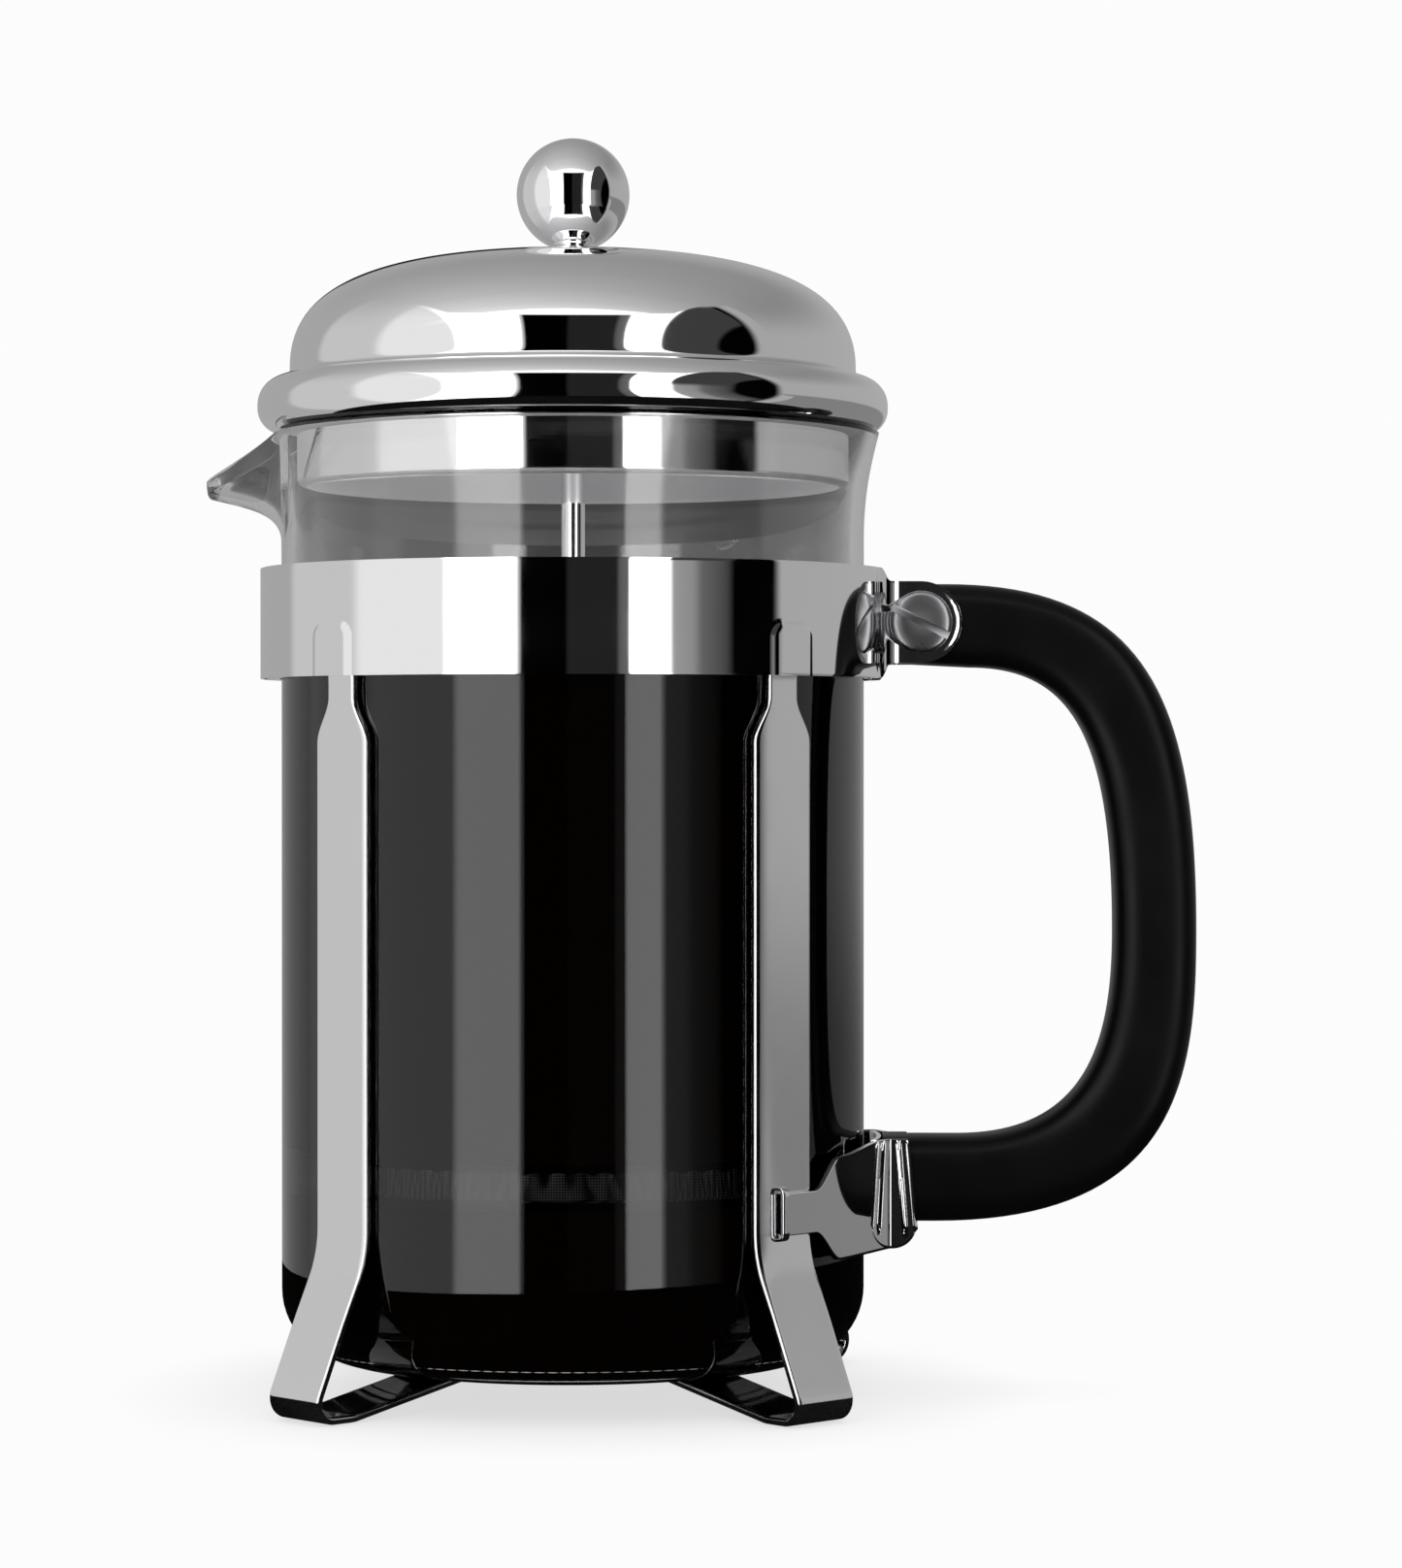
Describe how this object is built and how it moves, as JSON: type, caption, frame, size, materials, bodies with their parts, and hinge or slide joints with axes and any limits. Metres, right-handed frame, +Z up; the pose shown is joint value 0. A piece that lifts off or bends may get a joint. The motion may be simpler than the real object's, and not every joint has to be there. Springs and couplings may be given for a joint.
{
  "type": "french press",
  "caption": "French press with a glass beaker, a chrome frame and domed lid, a black D handle and a spring-edged filter plunger.",
  "frame": {"origin": "middle of the object's box at the height of the four feet; the glass's axis stands 21.85 mm towards -X from it", "axes": "+Z up along the plunger, +X towards the handle, -X towards the spout, +Y to the back"},
  "size_m": [0.1701, 0.1082, 0.215],
  "materials": {
    "chrome": "polished",
    "filter_steel": "satin",
    "glass": "polished",
    "handle_plastic": "satin"
  },
  "bodies": {
    "frame": {"collar_band": "chrome", "leg_strip_upper": "chrome", "leg_strip_lower": "chrome", "base_rivet": "filter_steel", "handle": "handle_plastic", "handle_screw": "chrome", "handle_nut": "chrome", "lower_bracket": "chrome"},
    "beaker": {"glass_beaker": "glass"},
    "lid": {"lid_dome": "chrome", "lid_skirt": "chrome", "lid_bush": "chrome"},
    "plunger": {"plunger_knob": "chrome", "knob_insert": "chrome", "plunger_rod": "chrome", "rod_nut": "filter_steel", "spiral_plate": "filter_steel", "edge_spring": "filter_steel", "mesh_screen": "filter_steel", "cross_plate": "filter_steel", "cross_hub": "filter_steel"}
  },
  "joints": [
    {"name": "beaker_lift", "type": "slide", "parent": "frame", "child": "beaker", "axis": [0, 0, 1], "range_m": [0, 0.14]},
    {"name": "lid_lift", "type": "slide", "parent": "beaker", "child": "lid", "axis": [0, 0, 1], "range_m": [0, 0.14]},
    {"name": "plunger_slide", "type": "slide", "parent": "lid", "child": "plunger", "axis": [0, 0, 1], "range_m": [0, 0.112]}
  ]
}
